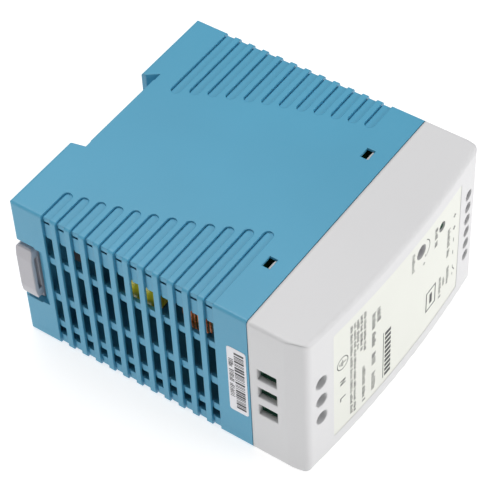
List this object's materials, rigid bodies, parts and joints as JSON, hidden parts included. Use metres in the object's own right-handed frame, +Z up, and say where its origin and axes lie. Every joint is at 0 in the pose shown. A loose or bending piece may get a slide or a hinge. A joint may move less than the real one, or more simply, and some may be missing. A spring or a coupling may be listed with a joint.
{
  "type": "din rail power supply",
  "caption": "Narrow plastic power supply for a mounting rail, with ventilated blue case, grey bowed front, rail release slider, adjuster, indicator lamp and screw terminals at both ends.",
  "frame": {"origin": "middle of the rail seat: on the floor of the rail channel, midway along the width and in line with the middle of the 35 mm rail", "axes": "+X across the width, along the rail; the front faces -Y, so +Y points back into the rail; +Z up, with the output terminals at the top and the input terminals and the release slider at the bottom"},
  "size_m": [0.055, 0.1013, 0.0912],
  "materials": {
    "blue_case": "fine-grained moulded plastic, light blue",
    "grey_cover": "fine-grained moulded plastic, light grey",
    "label_film": "satin printed film",
    "sticker": "smooth coated paper",
    "slider_plastic": "moulded plastic, mid grey",
    "spring_wire": "bright drawn wire",
    "terminal_green": "moulded polyamide, dark green",
    "plated_brass": "tin-plated brass",
    "zinc_steel": "zinc-plated steel",
    "cage_steel": "nickel-plated steel",
    "led_green": "clear tinted epoxy",
    "white_nylon": "natural nylon",
    "trimmer_blue": "moulded plastic, blue",
    "trimmer_cap": "moulded plastic, grey",
    "circuit_board": "green solder mask on glass-epoxy",
    "black_plastic": "moulded plastic, black",
    "insulating_film": "translucent polyester film",
    "fuse_ceramic": "unglazed ceramic tube",
    "blue_epoxy": "dipped epoxy, blue",
    "black_epoxy": "moulded epoxy, black",
    "yellow_box": "moulded box, yellow",
    "ferrite": "sintered ferrite",
    "yellow_tape": "polyester tape, yellow",
    "toroid_coating": "epoxy coating, green",
    "enamelled_copper": "enamelled copper wire",
    "capacitor_sleeve": "shrink sleeve over aluminium",
    "heat_sink_aluminium": "plain aluminium sheet",
    "optocoupler_body": "moulded epoxy, white",
    "relay_case": "moulded plastic, dark blue"
  },
  "bodies": {
    "housing": {"case_shell": "blue_case", "front_cover": "grey_cover", "front_label": "label_film", "serial_sticker": "sticker", "slider_spring": "spring_wire", "input_terminal": "terminal_green", "input_contacts": "plated_brass", "output_terminal": "terminal_green", "output_contacts": "plated_brass", "status_led": "led_green", "led_spacer": "white_nylon", "trimmer_body": "trimmer_blue", "main_board": "circuit_board", "front_board": "circuit_board", "board_header": "black_plastic", "insulation_sheet": "insulating_film", "fuse": "fuse_ceramic", "varistor": "blue_epoxy", "thermistor": "black_epoxy", "x_capacitor": "yellow_box", "y_capacitors": "blue_epoxy", "filter_choke_core": "ferrite", "filter_choke_coil": "yellow_tape", "toroid_core": "toroid_coating", "toroid_winding": "enamelled_copper", "bridge_rectifier": "black_epoxy", "bulk_capacitor": "capacitor_sleeve", "transformer_core": "ferrite", "transformer_coil": "yellow_tape", "primary_heat_sink": "heat_sink_aluminium", "primary_switch": "black_epoxy", "secondary_heat_sink": "heat_sink_aluminium", "output_rectifier": "black_epoxy", "heat_sink_screws": "zinc_steel", "output_choke": "enamelled_copper", "output_capacitors": "capacitor_sleeve", "optocouplers": "optocoupler_body", "alarm_relay": "relay_case"},
    "slider": {"release_slider": "slider_plastic"},
    "adjuster": {"trimmer_rotor": "trimmer_cap"},
    "input_screw_1": {"input_screw_1": "zinc_steel"},
    "input_cage_1": {"input_cage_1": "cage_steel"},
    "input_screw_2": {"input_screw_2": "zinc_steel"},
    "input_cage_2": {"input_cage_2": "cage_steel"},
    "input_screw_3": {"input_screw_3": "zinc_steel"},
    "input_cage_3": {"input_cage_3": "cage_steel"},
    "output_screw_1": {"output_screw_1": "zinc_steel"},
    "output_cage_1": {"output_cage_1": "cage_steel"},
    "output_screw_2": {"output_screw_2": "zinc_steel"},
    "output_cage_2": {"output_cage_2": "cage_steel"},
    "output_screw_3": {"output_screw_3": "zinc_steel"},
    "output_cage_3": {"output_cage_3": "cage_steel"},
    "output_screw_4": {"output_screw_4": "zinc_steel"},
    "output_cage_4": {"output_cage_4": "cage_steel"},
    "output_screw_5": {"output_screw_5": "zinc_steel"},
    "output_cage_5": {"output_cage_5": "cage_steel"},
    "output_screw_6": {"output_screw_6": "zinc_steel"},
    "output_cage_6": {"output_cage_6": "cage_steel"}
  },
  "joints": [
    {"name": "slider_release", "type": "slide", "parent": "housing", "child": "slider", "axis": [0, 0, -1], "range_m": [0, 0.0035], "stiffness_N_per_m": 1000, "springref_m": -0.001, "deforming": ["slider_spring"]},
    {"name": "adjuster_turn", "type": "hinge", "parent": "housing", "child": "adjuster", "pos_m": [-0.016, -0.0914, 0.0088], "axis": [0, 1, 0], "range_deg": [-135, 135]},
    {"name": "input_screw_1_turn", "type": "hinge", "parent": "housing", "child": "input_screw_1", "pos_m": [-0.00762, -0.089, -0.0391], "axis": [0, 1, 0], "range_deg": [0, 1584]},
    {"name": "input_cage_1_slide", "type": "slide", "parent": "housing", "child": "input_cage_1", "axis": [0, -1, 0], "range_m": [0, 0.0022]},
    {"name": "input_screw_2_turn", "type": "hinge", "parent": "housing", "child": "input_screw_2", "pos_m": [0, -0.089, -0.0391], "axis": [0, 1, 0], "range_deg": [0, 1584]},
    {"name": "input_cage_2_slide", "type": "slide", "parent": "housing", "child": "input_cage_2", "axis": [0, -1, 0], "range_m": [0, 0.0022]},
    {"name": "input_screw_3_turn", "type": "hinge", "parent": "housing", "child": "input_screw_3", "pos_m": [0.00762, -0.089, -0.0391], "axis": [0, 1, 0], "range_deg": [0, 1584]},
    {"name": "input_cage_3_slide", "type": "slide", "parent": "housing", "child": "input_cage_3", "axis": [0, -1, 0], "range_m": [0, 0.0022]},
    {"name": "output_screw_1_turn", "type": "hinge", "parent": "housing", "child": "output_screw_1", "pos_m": [-0.0127, -0.089, 0.0373], "axis": [0, 1, 0], "range_deg": [0, 1760]},
    {"name": "output_cage_1_slide", "type": "slide", "parent": "housing", "child": "output_cage_1", "axis": [0, -1, 0], "range_m": [0, 0.0022]},
    {"name": "output_screw_2_turn", "type": "hinge", "parent": "housing", "child": "output_screw_2", "pos_m": [-0.00762, -0.089, 0.0373], "axis": [0, 1, 0], "range_deg": [0, 1760]},
    {"name": "output_cage_2_slide", "type": "slide", "parent": "housing", "child": "output_cage_2", "axis": [0, -1, 0], "range_m": [0, 0.0022]},
    {"name": "output_screw_3_turn", "type": "hinge", "parent": "housing", "child": "output_screw_3", "pos_m": [-0.00254, -0.089, 0.0373], "axis": [0, 1, 0], "range_deg": [0, 1760]},
    {"name": "output_cage_3_slide", "type": "slide", "parent": "housing", "child": "output_cage_3", "axis": [0, -1, 0], "range_m": [0, 0.0022]},
    {"name": "output_screw_4_turn", "type": "hinge", "parent": "housing", "child": "output_screw_4", "pos_m": [0.00254, -0.089, 0.0373], "axis": [0, 1, 0], "range_deg": [0, 1760]},
    {"name": "output_cage_4_slide", "type": "slide", "parent": "housing", "child": "output_cage_4", "axis": [0, -1, 0], "range_m": [0, 0.0022]},
    {"name": "output_screw_5_turn", "type": "hinge", "parent": "housing", "child": "output_screw_5", "pos_m": [0.00762, -0.089, 0.0373], "axis": [0, 1, 0], "range_deg": [0, 1760]},
    {"name": "output_cage_5_slide", "type": "slide", "parent": "housing", "child": "output_cage_5", "axis": [0, -1, 0], "range_m": [0, 0.0022]},
    {"name": "output_screw_6_turn", "type": "hinge", "parent": "housing", "child": "output_screw_6", "pos_m": [0.0127, -0.089, 0.0373], "axis": [0, 1, 0], "range_deg": [0, 1760]},
    {"name": "output_cage_6_slide", "type": "slide", "parent": "housing", "child": "output_cage_6", "axis": [0, -1, 0], "range_m": [0, 0.0022]}
  ],
  "couplings": [
    {"joint": "input_screw_1_turn", "follows": "input_cage_1_slide", "rad_per_m": 12566},
    {"joint": "input_screw_2_turn", "follows": "input_cage_2_slide", "rad_per_m": 12566},
    {"joint": "input_screw_3_turn", "follows": "input_cage_3_slide", "rad_per_m": 12566},
    {"joint": "output_screw_1_turn", "follows": "output_cage_1_slide", "rad_per_m": 13963},
    {"joint": "output_screw_2_turn", "follows": "output_cage_2_slide", "rad_per_m": 13963},
    {"joint": "output_screw_3_turn", "follows": "output_cage_3_slide", "rad_per_m": 13963},
    {"joint": "output_screw_4_turn", "follows": "output_cage_4_slide", "rad_per_m": 13963},
    {"joint": "output_screw_5_turn", "follows": "output_cage_5_slide", "rad_per_m": 13963},
    {"joint": "output_screw_6_turn", "follows": "output_cage_6_slide", "rad_per_m": 13963}
  ]
}
